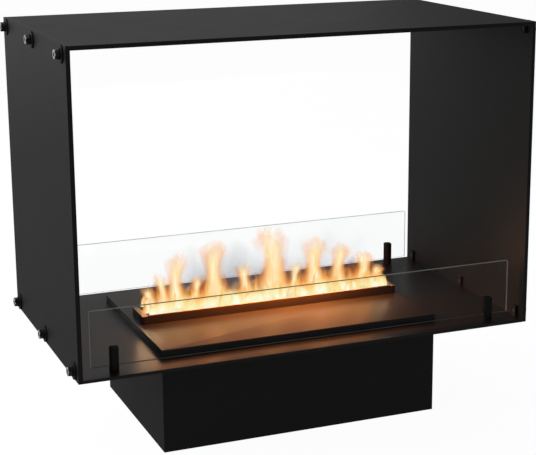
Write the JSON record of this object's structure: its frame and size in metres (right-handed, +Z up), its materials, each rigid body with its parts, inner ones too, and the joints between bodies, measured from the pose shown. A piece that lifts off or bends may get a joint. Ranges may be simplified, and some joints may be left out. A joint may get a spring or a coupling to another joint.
{
  "type": "water vapour fireplace",
  "caption": "See-through steel firebox with two low glass panes and a vapour burner, on a plinth that holds the tank, the mist chamber and the fans.",
  "frame": {"origin": "centre of the plinth's footprint, on the floor under the rubber feet", "axes": "+Z up, -Y out of the front pane, +X to the right as seen from the front"},
  "size_m": [0.926, 0.5, 0.773],
  "materials": {
    "black_steel": "matt black powder coat on sheet steel",
    "burner_steel": "dark brown-black heat-tinted steel",
    "bright_zinc": "bright zinc plating",
    "black_oxide": "black oxide, satin",
    "clear_glass": "clear toughened glass with polished edges",
    "grey_silicone": "soft grey silicone",
    "black_rubber": "matt rubber",
    "grey_plastic": "moulded plastic, fine grain",
    "black_plastic": "moulded plastic, satin",
    "brass": "turned brass",
    "white_plastic": "moulded plastic",
    "lamp_aluminium": "extruded, natural",
    "lamp_amber": "lit lamp lens",
    "milky_plastic": "translucent blow-moulded plastic",
    "blue_plastic": "moulded plastic",
    "board_green": "lacquered board",
    "red_plastic": "moulded plastic",
    "dark_magnet": "bare ferrite"
  },
  "bodies": {
    "root": {"left_side_panel": "black_steel", "right_side_panel": "black_steel", "top_panel": "black_steel", "hearth_panel": "black_steel", "top_lugs": "black_steel", "hearth_lugs": "black_steel", "side_bolts": "bright_zinc", "side_washers": "black_oxide", "side_collars": "black_oxide", "glass_posts": "black_oxide", "post_screws": "bright_zinc", "glass_gaskets": "grey_silicone", "plinth_front_panel": "black_steel", "plinth_rear_panel": "black_steel", "plinth_left_panel": "black_steel", "plinth_right_panel": "black_steel", "plinth_floor": "bright_zinc", "plinth_screws": "bright_zinc", "rubber_feet": "black_rubber", "mist_chamber": "grey_plastic", "chamber_feet": "black_plastic", "mist_hood": "grey_plastic", "vapour_housings": "black_plastic", "vapour_discs": "brass", "float_stem": "bright_zinc", "lamp_bars": "lamp_aluminium", "lamps": "lamp_amber", "fan_frames": "black_plastic", "fan_screws": "bright_zinc", "water_tank": "milky_plastic", "feed_pipe": "milky_plastic", "feed_valve": "brass", "power_supply": "bright_zinc", "control_board": "board_green", "board_spacers": "brass", "board_components": "black_plastic", "mains_inlet": "black_plastic", "inlet_pins": "brass", "inlet_screws": "bright_zinc", "switch_body": "black_plastic", "door_magnet": "dark_magnet", "hinge_frame_leaves": "bright_zinc", "hinge_pins": "bright_zinc"},
    "front_pane": {"front_glass": "clear_glass"},
    "rear_pane": {"rear_glass": "clear_glass"},
    "cover": {"hearth_cover": "black_steel", "burner_frame": "burner_steel"},
    "door": {"service_door": "black_steel", "door_knob": "bright_zinc", "hinge_door_leaves": "bright_zinc"},
    "left_rotor": {"left_fan_rotor": "black_plastic"},
    "right_rotor": {"right_fan_rotor": "black_plastic"},
    "float": {"float_ring": "white_plastic"},
    "filler_cap": {"tank_cap": "blue_plastic"},
    "rocker": {"switch_rocker": "red_plastic"}
  },
  "joints": [
    {"name": "front_pane_lift", "type": "slide", "parent": "root", "child": "front_pane", "axis": [0, 0, 1], "range_m": [0, 0.12]},
    {"name": "rear_pane_lift", "type": "slide", "parent": "root", "child": "rear_pane", "axis": [0, 0, 1], "range_m": [0, 0.12]},
    {"name": "cover_lift", "type": "slide", "parent": "root", "child": "cover", "axis": [0, 0, 1], "range_m": [0, 0.25]},
    {"name": "door_swing", "type": "hinge", "parent": "root", "child": "door", "pos_m": [-0.2473, 0.1915, 0.095], "axis": [0, 0, 1], "range_deg": [0, 110]},
    {"name": "left_fan_spin", "type": "hinge", "parent": "root", "child": "left_rotor", "pos_m": [-0.15, -0.072, 0.106], "axis": [0, 1, 0], "continuous": true},
    {"name": "right_fan_spin", "type": "hinge", "parent": "root", "child": "right_rotor", "pos_m": [0.15, -0.072, 0.106], "axis": [0, 1, 0], "continuous": true},
    {"name": "float_rise", "type": "slide", "parent": "root", "child": "float", "axis": [0, 0, 1], "range_m": [0, 0.02]},
    {"name": "cap_turn", "type": "hinge", "parent": "root", "child": "filler_cap", "pos_m": [-0.201, 0.128, 0.135], "axis": [0, 0, 1], "range_deg": [0, 360]},
    {"name": "rocker_press", "type": "hinge", "parent": "root", "child": "rocker", "pos_m": [0.215, 0.187, 0.125], "axis": [1, 0, 0], "range_deg": [0, 18]}
  ]
}
